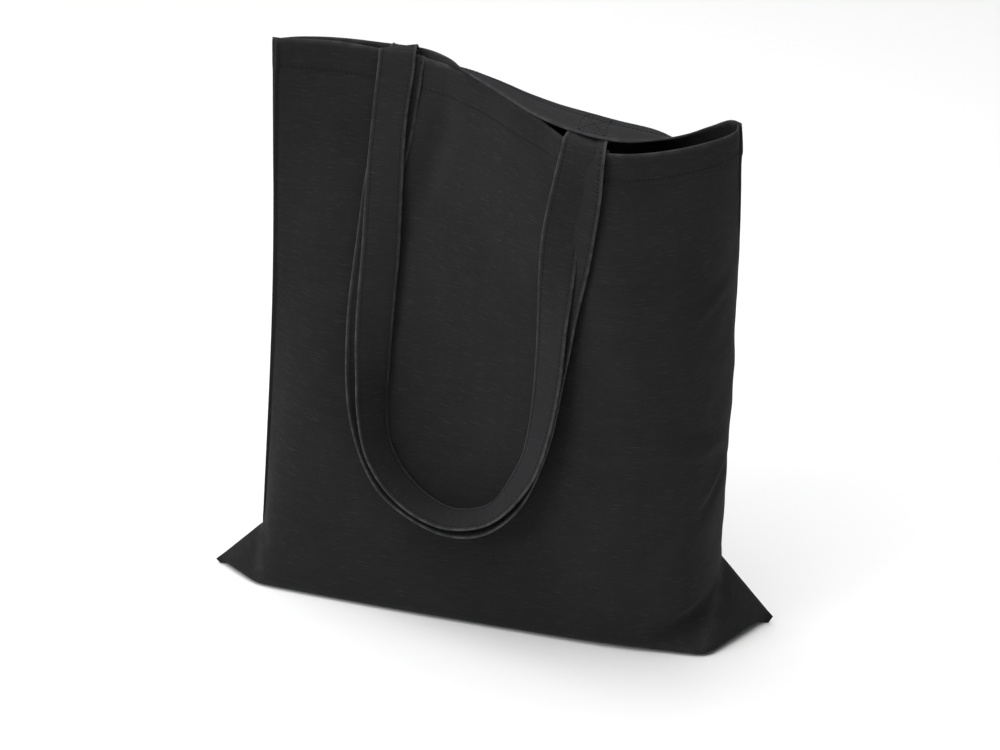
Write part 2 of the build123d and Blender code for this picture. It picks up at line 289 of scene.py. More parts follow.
def shell(name: str, outer: Points, inner: Points, cloth: Points, edge: Points, flip: bool) -> bpy.types.Object:
    """Closed piece of cloth between two grids, with a rounded edge all round.

    Args:
        name: Name of the piece.
        outer: Grid of its outer face.
        inner: Grid of its inner face.
        cloth: Grid of places on the flat cloth.
        edge: Grid of edge wear and painted edge highlight, from 0 to 1.
        flip: Whether the outer faces look the other way.

    Returns:
        The piece.
    """
    rows, columns = outer.shape[:2]
    count = rows * columns
    ring = border_ring(columns, rows)
    out, inn = outer.reshape(-1, 3), inner.reshape(-1, 3)
    middle = (out[ring] + inn[ring]) / 2
    row_of, column_of = np.divmod(np.array(ring), columns)
    nearer = np.clip(row_of, 1, rows - 2) * columns + np.clip(column_of, 1, columns - 2)
    away = unit(middle - (out[nearer] + inn[nearer]) / 2)
    half = np.linalg.norm(out[ring] - inn[ring], axis=1, keepdims=True) / 2
    points = np.vstack([out, inn, middle + away * half])
    flat = cloth.reshape(-1, 2)
    flats = np.vstack([flat, flat, flat[ring]])
    # The rounded border gets the full edge mask: wear plus painted highlight.
    edges = np.concatenate([edge.ravel(), edge.ravel(), np.ones(len(ring))])
    faces = grid_faces(columns, rows, 0, flip) + grid_faces(columns, rows, count, not flip)
    for step, here in enumerate(ring):
        after = ring[(step + 1) % len(ring)]
        mid, mid_after = 2 * count + step, 2 * count + (step + 1) % len(ring)
        for low, low_after, high, high_after in ((here, after, mid, mid_after),
                                                 (mid, mid_after, here + count, after + count)):
            quad = (low, high, high_after, low_after)
            faces.append(quad[::-1] if flip else quad)
    return new_object(name, points, faces, flats, edges)


def stitch_row(name: str, places: Points, normals: Points, along: Points, length: float,
               thickness: float = THREAD) -> bpy.types.Object:
    """Row of separate stitches, each a rounded grain of thread that dips into the cloth at both ends.

    Args:
        name: Name of the piece.
        places: Middle of each stitch.
        normals: Direction away from the cloth at each stitch.
        along: Direction of each stitch.
        length: Length of a stitch.
        thickness: Thickness of the thread.

    Returns:
        One piece with every stitch.
    """
    rings, around = 5, 6
    share = np.linspace(-1, 1, rings)
    girth = np.sqrt(np.maximum(1 - np.abs(share) ** 3, 0.04))
    turn = np.linspace(0, 2 * pi, around, endpoint=False)
    along = unit(along)
    across = unit(np.cross(along, normals))
    points, faces, flats = [], [], []
    for place, up, ahead, aside in zip(places, normals, along, across):
        start = len(points)
        for s, g in zip(share, girth):
            centre = place + ahead * s * length / 2 + up * thickness * (0.30 - 0.42 * s * s)
            for angle in turn:
                points.append(centre + (aside * cos(angle) * 0.62 + up * sin(angle) * 0.5) * g * thickness)
                flats.append((s * length, angle))
        faces += grid_faces(around, rings, start, True, wrap=True)
        faces.append(tuple(range(start, start + around)))
        faces.append(tuple(range(start + around * rings - 1, start + around * (rings - 1) - 1, -1)))
    return new_object(name, np.array(points), faces, np.array(flats))


# ---------------------------------------------------------------------------
# Materials
# ---------------------------------------------------------------------------
class Nodes:
    """Small helper that lays out shader nodes in a tree."""

    def __init__(self, tree: bpy.types.NodeTree) -> None:
        """Start with the tree's existing nodes."""
        self.tree = tree

    def add(self, kind: str, **values: object) -> bpy.types.Node:
        """Add a node.

        Args:
            kind: Blender's name of the node type.
            **values: Properties of the node, and inputs written as in_NAME.

        Returns:
            The new node.
        """
        node = self.tree.nodes.new(kind)
        for key, value in values.items():
            if key.startswith("in_"):
                node.inputs[key[3:]].default_value = value
            else:
                setattr(node, key, value)
        return node

    def link(self, source: bpy.types.NodeSocket, target: bpy.types.NodeSocket) -> None:
        """Join two sockets."""
        self.tree.links.new(source, target)

    def math(self, operation: str, first: object, second: object = 0.0) -> bpy.types.NodeSocket:
        """Add a maths node.

        Args:
            operation: Blender's name of the operation.
            first: A socket or a number.
            second: A socket or a number.

        Returns:
            The result's socket.
        """
        node = self.add("ShaderNodeMath", operation=operation)
        for slot, value in enumerate((first, second)):
            if isinstance(value, bpy.types.NodeSocket):
                self.link(value, node.inputs[slot])
            else:
                node.inputs[slot].default_value = value
        return node.outputs[0]

    def noise(self, vector: bpy.types.NodeSocket, scale: Spot, detail: float = 3.0) -> bpy.types.NodeSocket:
        """Add noise stretched by a scale along each axis of its coordinates.

        Args:
            vector: Coordinates in metres.
            scale: Features for each metre along each axis.
            detail: Octaves of finer noise.

        Returns:
            The noise value's socket.
        """
        stretch = self.add("ShaderNodeVectorMath", operation="MULTIPLY")
        self.link(vector, stretch.inputs[0])
        stretch.inputs[1].default_value = scale
        node = self.add("ShaderNodeTexNoise", in_Scale=1.0, in_Detail=detail, in_Roughness=0.6)
        self.link(stretch.outputs[0], node.inputs["Vector"])
        return node.outputs["Fac"]

    def span(self, value: bpy.types.NodeSocket, low: float, high: float, start: float = 0.0,
             end: float = 1.0) -> bpy.types.NodeSocket:
        """Add a smooth map from one span of values to another.

        Args:
            value: Socket to read.
            low: Value that gives start.
            high: Value that gives end.
            start: Result at low.
            end: Result at high.

        Returns:
            The result's socket.
        """
        node = self.add("ShaderNodeMapRange", interpolation_type="SMOOTHSTEP")
        self.link(value, node.inputs["Value"])
        for key, number in (("From Min", low), ("From Max", high), ("To Min", start), ("To Max", end)):
            node.inputs[key].default_value = number
        return node.outputs["Result"]


def new_group(name: str, inputs: tuple[tuple[str, str, object], ...],
              outputs: tuple[str, ...]) -> tuple[bpy.types.NodeTree, Nodes, bpy.types.Node, bpy.types.Node]:
    """Start a shader node group.

    Args:
        name: Name of the group.
        inputs: Name, socket type and default of each input.
        outputs: Name of each output value.

    Returns:
        The group, its layout helper, its input node and its output node.
    """
    group = bpy.data.node_groups.new(name, "ShaderNodeTree")
    for label, kind, default in inputs:
        socket = group.interface.new_socket(name=label, in_out="INPUT", socket_type=kind)
        if default is not None:
            socket.default_value = default
    for label in outputs:
        group.interface.new_socket(name=label, in_out="OUTPUT", socket_type="NodeSocketFloat")
    nodes = Nodes(group)
    return group, nodes, nodes.add("NodeGroupInput"), nodes.add("NodeGroupOutput")


def plain_weave_group() -> bpy.types.NodeTree:
    """Plain weave of warp and weft threads with slubs, from places on the flat cloth.

    Returns:
        A group that gives the height of the weave and the tone of its threads.
    """
    group, nodes, given, result = new_group(
        "plain_weave",
        (("Cloth", "NodeSocketVector", None), ("Threads", "NodeSocketFloat", 2200.0),
         ("Slub", "NodeSocketFloat", 1.0)),
        ("Height", "Tone"))
    wobble = nodes.noise(given.outputs["Cloth"], (90.0, 90.0, 90.0), 2.0)
    sway = nodes.math("MULTIPLY", wobble, 0.0016)
    split = nodes.add("ShaderNodeSeparateXYZ")
    nodes.link(given.outputs["Cloth"], split.inputs[0])
    turns = nodes.math("MULTIPLY", given.outputs["Threads"], pi)
    warp = nodes.math("SINE", nodes.math("MULTIPLY", nodes.math("ADD", split.outputs[0], sway), turns))
    weft = nodes.math("SINE", nodes.math("MULTIPLY", nodes.math("ADD", split.outputs[1], sway), turns))
    over = nodes.math("MULTIPLY", warp, weft)
    ribs = nodes.math("ADD", nodes.math("ABSOLUTE", warp), nodes.math("ABSOLUTE", weft))
    weave = nodes.math("ADD", nodes.math("MULTIPLY", over, 0.35), nodes.math("MULTIPLY", ribs, 0.3))
    flat_slub = nodes.span(nodes.noise(given.outputs["Cloth"], (85.0, 1400.0, 1.0)), 0.55, 0.80)
    tall_slub = nodes.span(nodes.noise(given.outputs["Cloth"], (1500.0, 70.0, 1.0)), 0.60, 0.84)
    slubs = nodes.math("MULTIPLY", nodes.math("ADD", flat_slub, nodes.math("MULTIPLY", tall_slub, 0.6)),
                       given.outputs["Slub"])
    nodes.link(nodes.math("ADD", weave, nodes.math("MULTIPLY", slubs, 0.9)), result.inputs["Height"])
    grain = nodes.math("MULTIPLY", nodes.math("SUBTRACT", weave, 0.35), 0.5)
    nodes.link(nodes.math("ADD", grain, nodes.math("MULTIPLY", slubs, 0.9)), result.inputs["Tone"])
    return group


def handled_cloth_and_edge_highlight_group() -> bpy.types.NodeTree:
    """Uneven dye and lint of cotton that has been handled, and edges lightened by wear and by a painted highlight.

    Returns:
        A group that gives a tone to add to the cloth and a mask of its lint.
    """
    group, nodes, given, result = new_group(
        "handled_cloth_and_edge_highlight",
        (("Cloth", "NodeSocketVector", None), ("Edge", "NodeSocketFloat", 0.0),
         ("Rub", "NodeSocketFloat", 0.5), ("Fade", "NodeSocketFloat", 0.3)),
        ("Tone", "Lint"))
    cloud = nodes.span(nodes.noise(given.outputs["Cloth"], (11.0, 9.0, 9.0), 4.0), 0.3, 0.7, -1.0, 1.0)
    streak = nodes.span(nodes.noise(given.outputs["Cloth"], (6.0, 160.0, 1.0), 2.0), 0.3, 0.7, -1.0, 1.0)
    fade = nodes.math("MULTIPLY", nodes.math("ADD", cloud, nodes.math("MULTIPLY", streak, 0.35)),
                      given.outputs["Fade"])
    patchy = nodes.span(nodes.noise(given.outputs["Cloth"], (140.0, 140.0, 140.0)), 0.35, 0.65, 0.35, 1.0)
    # Lightening along edges, partly real wear and partly painted highlight.
    rub = nodes.math("MULTIPLY", nodes.math("MULTIPLY", given.outputs["Edge"], patchy), given.outputs["Rub"])
    lint = nodes.span(nodes.noise(given.outputs["Cloth"], (420.0, 700.0, 400.0), 1.0), 0.74, 0.80)
    nodes.link(nodes.math("ADD", fade, rub), result.inputs["Tone"])
    nodes.link(lint, result.inputs["Lint"])
    return group


@dataclass(frozen=True)
class CottonFinish:
    """Dyed cotton: its colour, thread count, its wear and the painted highlight on its edges."""

    name: str
    slot: str
    color: Spot
    threads: float
    weave_depth: float
    slub: float
    # How much the edge mask lightens the colour: wear plus painted highlight.
    rub: float
    fade: float
    fuzz: float

    def build(self, weave: bpy.types.NodeTree, handled: bpy.types.NodeTree) -> bpy.types.Material:
        """Make the material.

        Args:
            weave: The plain weave group.
            handled: The group of handled cloth, with painted edge highlight.

        Returns:
            The material.
        """
        material = bpy.data.materials.new(self.name)
        material.use_nodes = True
        nodes = Nodes(material.node_tree)
        shader = material.node_tree.nodes["Principled BSDF"]
        flat = nodes.add("ShaderNodeAttribute", attribute_name="cloth")
        edge = nodes.add("ShaderNodeAttribute", attribute_name="edge")
        woven = nodes.add("ShaderNodeGroup", node_tree=weave, in_Threads=self.threads, in_Slub=self.slub)
        wear_and_highlight = nodes.add("ShaderNodeGroup", node_tree=handled, in_Rub=self.rub, in_Fade=self.fade)
        nodes.link(flat.outputs["Vector"], woven.inputs["Cloth"])
        nodes.link(flat.outputs["Vector"], wear_and_highlight.inputs["Cloth"])
        nodes.link(edge.outputs["Fac"], wear_and_highlight.inputs["Edge"])
        tone = nodes.math("ADD", nodes.math("ADD", woven.outputs["Tone"], wear_and_highlight.outputs["Tone"]), 1.0)
        lit = nodes.math("ADD", tone, nodes.math("MULTIPLY", wear_and_highlight.outputs["Lint"], 1.3))
        shade = nodes.add("ShaderNodeVectorMath", operation="SCALE")
        shade.inputs[0].default_value = self.color
        nodes.link(lit, shade.inputs["Scale"])
        nodes.link(shade.outputs[0], shader.inputs["Base Color"])
        relief = nodes.add("ShaderNodeBump", in_Strength=0.7, in_Distance=self.weave_depth * MM)
        nodes.link(woven.outputs["Height"], relief.inputs["Height"])
        nodes.link(relief.outputs["Normal"], shader.inputs["Normal"])
        nodes.link(nodes.span(woven.outputs["Tone"], -0.2, 0.6, 0.95, 0.82), shader.inputs["Roughness"])
        shader.inputs["Specular IOR Level"].default_value = 0.12
        shader.inputs["Sheen Weight"].default_value = self.fuzz
        shader.inputs["Sheen Roughness"].default_value = 0.45
        shader.inputs["Sheen Tint"].default_value = (0.9, 0.92, 1.0, 1.0)
        return material


CANVAS = CottonFinish("black_canvas", "canvas", (0.0125, 0.0125, 0.0130), 2000.0, 0.20, 1.6, 1.6, 0.12, 0.04)
# The strap's strong edge lightening is mostly painted highlight where light catches its edges.
WEBBING = CottonFinish("black_strap_canvas", "strap_webbing", (0.0130, 0.0130, 0.0135), 2000.0, 0.20, 1.5,
                       3.2, 0.10, 0.05)
OVERLOCK = CottonFinish("black_overlocked_edge", "overlocked_edge", (0.011, 0.011, 0.0115), 900.0, 0.25, 0.3,
                        0.4, 0.1, 0.04)
# The black thread is darkened further to paint the shade in the valleys of the stitching.
YARN = CottonFinish("black_thread_with_painted_shade", "thread", (0.005, 0.005, 0.0052), 5000.0, 0.05, 0.0, 0.0, 0.05, 0.08)


class Wardrobe:
    """Every cotton finish, built once."""

    def __init__(self) -> None:
        """Build the shared groups and the materials that use them."""
        weave, handled = plain_weave_group(), handled_cloth_and_edge_highlight_group()
        self.materials = {finish: finish.build(weave, handled) for finish in (CANVAS, WEBBING, OVERLOCK, YARN)}

    def dress(self, piece: bpy.types.Object, finish: CottonFinish) -> None:
        """Give a piece its finish."""
        piece.data.materials.clear()
        piece.data.materials.append(self.materials[finish])

    def fix_to_bag(self, piece: bpy.types.Object, finish: CottonFinish, node: str) -> bpy.types.Object:
        """Dress a piece that rides on the bag and stands for a node of the frame.

        Args:
            piece: The piece.
            finish: Its finish.
            node: Name of the node.

        Returns:
            The same piece.
        """
        self.dress(piece, finish)
        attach(piece, Body.BAG.value)
        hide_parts(node)
        return piece


# ---------------------------------------------------------------------------
# Panels
# ---------------------------------------------------------------------------
@dataclass(frozen=True)
class Level:
    """Line across a panel, from its left side seam to its right one."""

    flat_y: float
    spots: tuple[Spot, ...]


@dataclass(frozen=True)
class Crease:
    """Soft fold in a panel, between two places on its flat cloth."""

    start: tuple[float, float]
    end: tuple[float, float]
    depth: float
    width: float

    def lift(self, x: Points, y: Points) -> Points:
        """How far the fold moves the cloth outwards at places on the flat cloth."""
        run = np.array(self.end) - np.array(self.start)
        length = np.linalg.norm(run)
        ahead = ((x - self.start[0]) * run[0] + (y - self.start[1]) * run[1]) / length**2
        aside = ((x - self.start[0]) * run[1] - (y - self.start[1]) * run[0]) / length
        taper = ease(ahead, -0.25, 0.35) * ease(ahead, 1.25, 0.65)
        ridge = bump(aside, self.width) - 0.75 * bump(aside - 1.5 * self.width, self.width)
        return self.depth * ridge * taper


@dataclass(frozen=True)
class Ripple:
    """Gentle unevenness of limp cloth, a sum of seeded waves."""

    seed: int
    height: float
    shortest: float
    longest: float
    upright: float

    def lift(self, x: Points, y: Points) -> Points:
        """How far the ripples move the cloth outwards at places on the flat cloth."""
        random = np.random.default_rng(self.seed)
        total = np.zeros_like(x)
        waves = 14
        for _ in range(waves):
            length = random.uniform(self.shortest, self.longest)
            angle = random.normal(0, 1 - self.upright) * pi / 2
            phase = random.uniform(0, 2 * pi)
            total += np.sin(2 * pi * (x * cos(angle) + y * sin(angle)) / length + phase)
        return self.height * total / sqrt(waves)


@dataclass
class Panel:
    """One face of the bag: wall, strip of floor and the halves of two ears, from one rectangle of cloth."""

    name: str
    side: Side
    tip_left: Spot
    tip_right: Spot
    seam: tuple[Spot, ...]
    corner_left: tuple[float, float]
    corner_right: tuple[float, float]
    ridge: float
    levels: tuple[Level, ...]
    creases: tuple[Crease, ...]
    ripples: tuple[Ripple, ...]
    cloth: Points = field(init=False)
    grid: Points = field(init=False)
    low: Points = field(init=False)
    crease: Points = field(init=False)
    lines: list[Points] = field(init=False)

    def place(self) -> None:
        """Work out where every cell of the flat cloth goes."""
        columns = int(round(PANEL_WIDTH / CELL)) + 1
        rows = int(round(PANEL_HEIGHT / CELL)) + 1
        x, y = np.meshgrid(np.linspace(0, PANEL_WIDTH, columns), np.linspace(0, PANEL_HEIGHT, rows))
        self.cloth = np.stack([x, y], axis=-1)
        self.lines = [smooth_line(level.spots, LINE_STEPS) for level in self.levels]
        left_x, left_y = self.corner_left
        right_x, right_y = self.corner_right
        from_left, from_right = x / left_x, (PANEL_WIDTH - x) / (PANEL_WIDTH - right_x)
        across = left_y + (right_y - left_y) * (x - left_x) / (right_x - left_x)
        on_left, on_right = x < left_x, x > right_x
        self.low = np.where(on_left, left_y * from_left, np.where(on_right, right_y * from_right, across))
        self.crease = np.where(on_left, self.ridge - (self.ridge - left_y) * from_left,
                               np.where(on_right, self.ridge - (self.ridge - right_y) * from_right, self.low))
        grid = self._wall(x, np.maximum(y, self.crease))
        grid = np.where((y >= self.crease)[..., None], grid, self._ears(x, y))
        grid = np.where((y >= self.low)[..., None], grid, self._floor(x, y))
        self.grid = self._soften(grid, x, y)

    def _wall(self, x: Points, y: Points) -> Points:
        """Place the cloth above the front fold and the ears' creases.

        Args:
            x: Flat places across.
            y: Flat places up.

        Returns:
            Places on the standing bag.
        """
        left_x, left_y = self.corner_left
        right_x, right_y = self.corner_right
        rise = np.clip((self.ridge - y) / (self.ridge - left_y), 0, 1)
        fall = np.clip((self.ridge - y) / (self.ridge - right_y), 0, 1)
        low_x, high_x = left_x * rise, PANEL_WIDTH - (PANEL_WIDTH - right_x) * fall
        share = np.clip((x - low_x) / (high_x - low_x), 0, 1)
        lines = np.stack([read_line(line, share.ravel()) for line in self.lines])
        knots = np.array([level.flat_y for level in self.levels])
        height, cell = y.ravel(), np.arange(y.size)
        index = np.clip(np.searchsorted(knots, height, side="right") - 1, 0, len(knots) - 2)
        tangents = knot_tangents(knots, lines)
        tangents[1] = (lines[2] - lines[1]) / (knots[2] - knots[1])
        width = np.diff(knots)[index][:, None]
        t = (height - knots[index])[:, None] / width
        low, high = lines[index, cell], lines[index + 1, cell]
        curved = cubic(low, high, tangents[index, cell] * width, tangents[index + 1, cell] * width, t)
        return np.where((index == 0)[:, None], low + (high - low) * t, curved).reshape(x.shape + (3,))

    def _ears(self, x: Points, y: Points) -> Points:
        """Place the two triangles of cloth that stand out as ears, with a slight puff.

        Args:
            x: Flat places across.
            y: Flat places up.

        Returns:
            Places on the standing bag.
        """
        fold, ridge = self.lines[:2]
        right_x, right_y = self.corner_right
        sides = (
            (self.tip_left, fold[0], ridge[0], self.corner_left[1], x / self.corner_left[0], 1),
            (self.tip_right, fold[-1], ridge[-1], right_y, (PANEL_WIDTH - x) / (PANEL_WIDTH - right_x), -1),
        )
        ears = []
        for tip, corner, top, corner_y, inward, turn in sides:
            upward = np.clip((y - corner_y * inward) / self.ridge, 0, 1)
            puff = EAR_PUFF * inward * upward * np.clip(1 - inward - upward, 0, 1)
            outward = unit(np.cross(corner - tip, top - tip)) * turn * -self.side.value
            ears.append(tip + inward[..., None] * (corner - tip) + upward[..., None] * (top - tip)
                        + puff[..., None] * outward)
        return np.where((x < PANEL_WIDTH / 2)[..., None], *ears)

    def _floor(self, x: Points, y: Points) -> Points:
        """Place the cloth that lies on the floor between the bottom seam and the wall.

        Args:
            x: Flat places across.
            y: Flat places up.

        Returns:
            Places on the standing bag.
        """
        seam = read_line(smooth_line(self.seam, LINE_STEPS), x / PANEL_WIDTH)
        fold = self.lines[0]
        left_x, right_x = self.corner_left[0], self.corner_right[0]
        edge = read_line(fold, np.clip((x - left_x) / (right_x - left_x), 0, 1))
        for tip, corner, inward, beyond in (
                (self.tip_left, fold[0], x / left_x, x < left_x),
                (self.tip_right, fold[-1], (PANEL_WIDTH - x) / (PANEL_WIDTH - right_x), x > right_x)):
            along = tip + (corner - tip) * np.clip(inward, 0, 1)[..., None]
            edge = np.where(beyond[..., None], along, edge)
        ahead = np.clip(y / np.maximum(self.low, 1e-6), 0, 1)[..., None]
        return seam + (edge - seam) * ahead

    def _soften(self, grid: Points, x: Points, y: Points) -> Points:
        """Round the folds off, then add creases and ripples.

        Args:
            grid: Places of the cloth with sharp folds.
            x: Flat place across the panel.
            y: Flat place up the panel.

        Returns:
            Places of the limp cloth.
        """
        near = np.maximum(bump(y - self.crease, 5.0), 0.8 * bump(y - self.low, 4.5))[..., None]
        for _ in range(FOLD_PASSES):
            spread = grid.copy()
            spread[1:-1, 1:-1] = (grid[:-2, 1:-1] + grid[2:, 1:-1] + grid[1:-1, :-2] + grid[1:-1, 2:]) / 4
            grid = grid + (spread - grid) * near * FOLD_PULL
        lift = sum(item.lift(x, y) for item in self.creases + self.ripples)
        calm = ease(y, self.ridge - 25, self.ridge + 35)
        pinned = ease(x, 0, 14) * ease(x, PANEL_WIDTH, PANEL_WIDTH - 14) * ease(y, PANEL_HEIGHT, PANEL_HEIGHT - 60)
        lift = lift * calm * (0.25 + 0.75 * pinned)
        beside_seam = bump(x, TUCK_WIDTH) + bump(x - PANEL_WIDTH, TUCK_WIDTH)
        tuck = TUCK_DEPTH * beside_seam * ease(y, self.ridge - 5, self.ridge + 20)
        dent = STITCH_DENT * bump(y - HEM_LINE, 2.0)
        grid = grid + self.outward(grid) * (lift - tuck - dent)[..., None]
        grid[..., 2] = np.maximum(grid[..., 2], FLOOR_OUTSIDE)
        return grid

    def outward(self, grid: Points) -> Points:
        """Unit normals that point out of the bag."""
        return grid_normals(grid) * (1 if self.side is Side.FRONT else -1)

    def at(self, x: Points, y: Points) -> tuple[Points, Points]:
        """Read the outer face of the panel.

        Args:
            x: Flat places across.
            y: Flat places up.

        Returns:
            Places and outward normals.
        """
        normals = self.outward(self.grid)
        column = np.clip(np.asarray(x) / PANEL_WIDTH, 0, 1) * (self.grid.shape[1] - 1)
        row = np.clip(np.asarray(y) / PANEL_HEIGHT, 0, 1) * (self.grid.shape[0] - 1)
        c = np.minimum(column.astype(int), self.grid.shape[1] - 2)
        r = np.minimum(row.astype(int), self.grid.shape[0] - 2)
        u, v = (column - c)[..., None], (row - r)[..., None]

        def mix(values: Points) -> Points:
            """Read a grid between its points."""
            return ((values[r, c] * (1 - u) + values[r, c + 1] * u) * (1 - v)
                    + (values[r + 1, c] * (1 - u) + values[r + 1, c + 1] * u) * v)

        return mix(self.grid), unit(mix(normals))

    def depth_at(self, x: float, z: float) -> float:
        """How far back the wall stands at a place seen from straight in front."""
        wall = self.grid[self.cloth[..., 1] >= self.crease]
        away = (wall[:, 0] - x) ** 2 + (wall[:, 2] - z) ** 2
        nearest = np.argsort(away)[:6]
        weight = 1 / (away[nearest] + 0.05)
        return float((wall[nearest, 1] * weight).sum() / weight.sum())

    def flat_x(self, x: float) -> float:
        """Flat place across the hem of the cloth that hangs at x."""
        row = self.grid[-6]
        return float(np.interp(x, row[:, 0], self.cloth[-6, :, 0]))

    def build(self, wardrobe: Wardrobe) -> bpy.types.Object:
        """Make the panel's cloth, with its hem turned in, and dress it.

        Args:
            wardrobe: The finishes.

        Returns:
            The piece.
        """
        y = self.cloth[..., 1]
        hem = ease(y, PANEL_HEIGHT - HEM_DEPTH - 1.2, PANEL_HEIGHT - HEM_DEPTH + 0.6)
        thickness = CLOTH + HEM_EXTRA * hem
        inner = self.grid - self.outward(self.grid) * thickness[..., None]
        inner[..., 2] = np.maximum(inner[..., 2], FLOOR_INSIDE)
        # Mask that lightens the rim and the folds: wear plus painted highlight.
        edge = np.maximum(bump(y - PANEL_HEIGHT, 1.6), 0.55 * bump(y - self.crease, 3.5))
        piece = shell(f"{self.name}_cloth", self.grid, inner, self.cloth, edge, self.side is Side.BACK)
        return wardrobe.fix_to_bag(piece, CANVAS, self.name)

    def hem_stitches(self, wardrobe: Wardrobe) -> bpy.types.Object:
        """Make the row of stitches along the hem.

        Args:
            wardrobe: The finishes.

        Returns:
            The piece.
        """
        x = np.arange(6.0, PANEL_WIDTH - 5, STITCH_PITCH)
        y = np.full_like(x, HEM_LINE)
        places, normals = self.at(x, y)
        along = np.gradient(places, axis=0)
        label = self.name.replace("_panel", "_hem_stitching")
        piece = stitch_row(f"{label}_thread", places, normals, along, STITCH_LENGTH)
        return wardrobe.fix_to_bag(piece, YARN, label)

    def box_stitches(self, label: str, x: float, wardrobe: Wardrobe) -> bpy.types.Object:
        """Make a crossed square of stitches that holds a handle's end.

        Args:
            label: The frame's node that it stands for.
            x: Flat place of its middle across the panel.
            wardrobe: The finishes.

        Returns:
            The piece.
        """
        y = PANEL_HEIGHT - 2.0 - BOX_SIZE / 2
        half = BOX_SIZE / 2
        corners = [(-half, -half), (half, -half), (half, half), (-half, half)]
        runs = list(zip(corners, corners[1:] + corners[:1])) + [(corners[0], corners[2]), (corners[1], corners[3])]
        flat, ahead = [], []
        for start, end in runs:
            run = np.array(end) - np.array(start)
            length = np.linalg.norm(run)
            steps = int(length / (STITCH_PITCH * 0.8))
            for step in range(steps):
                flat.append(np.array(start) + run * (step + 0.5) / steps + (x, y))
                ahead.append(run / length)
        flat, ahead = np.array(flat), np.array(ahead)
        places, normals = self.at(flat[:, 0], flat[:, 1])
        further, _ = self.at(flat[:, 0] + ahead[:, 0], flat[:, 1] + ahead[:, 1])
        piece = stitch_row(f"{label}_thread", places, normals, further - places, 2.0)
        return wardrobe.fix_to_bag(piece, YARN, label)


FRONT = Panel(
    name="front_panel", side=Side.FRONT,
    tip_left=(-188.5, -0.6, 3.0), tip_right=(188.5, 40.5, 5.0),
    seam=((-188.5, 0.0, 0.6), (-125, -0.4, 0.6), (-62, 0.6, 0.6), (10, 3.5, 0.6), (77, 7.6, 0.6), (135, 22, 0.6),
          (188.5, 41, 0.6)),
    corner_left=(36.0, 22.0), corner_right=(PANEL_WIDTH - 55.0, 22.0), ridge=RIDGE,
    levels=(
        Level(22, ((-152.5, -23.5, 0.8), (-50, -26.5, 0.8), (50, -26.5, 0.8), (157.2, -24, 0.8))),
        Level(RIDGE, ((-156.7, 2.4, 36), (-146, -12, 34), (-111, -19, 30), (-40, -23, 28), (40, -26, 28),
                      (111, -29, 31), (143, -21, 38), (154.5, 8, 45), (152.5, 36, 47.6))),
        Level(228, ((-154, 11, 209), (-120, 2, 204), (-62, 0, 201), (-15, -11, 200), (37, -32, 200), (75, -46, 200),
                    (109, -47, 203), (141, -30, 209), (157.5, 0, 215), (155, 23, 217))),
        Level(330, ((-155, 12, 310), (-122, 15, 306), (-72, 17, 303), (-30, 3, 301), (14, -18, 300), (50, -42, 299),
                    (82, -57, 299), (110, -54, 302), (142, -35, 307), (158, -6, 311), (158, 6, 312))),
        Level(PANEL_HEIGHT, ((-155, 11, 388), (-118, 24, 386), (-82, 29, 382.5), (-50, 25, 381.5), (-16, 6, 381),
                             (9, -15, 380), (35, -35, 379), (58, -55, 378), (85, -66, 378), (111, -58, 378.5),
                             (143, -38, 382), (157, -23, 385), (158.5, -15, 387))),
    ),
    creases=(
        Crease((128, 404), (100, 300), -3.2, 10.0),
        Crease((352, 292), (310, 270), 1.4, 6.0),
        Crease((350, 168), (300, 178), 1.8, 7.0),
        Crease((362, 150), (325, 120), -1.6, 5.0),
        Crease((338, 118), (285, 78), 1.3, 9.0),
        Crease((20, 300), (60, 260), 0.8, 12.0),
    ),
    ripples=(Ripple(11, 0.75, 70, 190, 0.6), Ripple(12, 0.22, 22, 50, 0.3)),
)
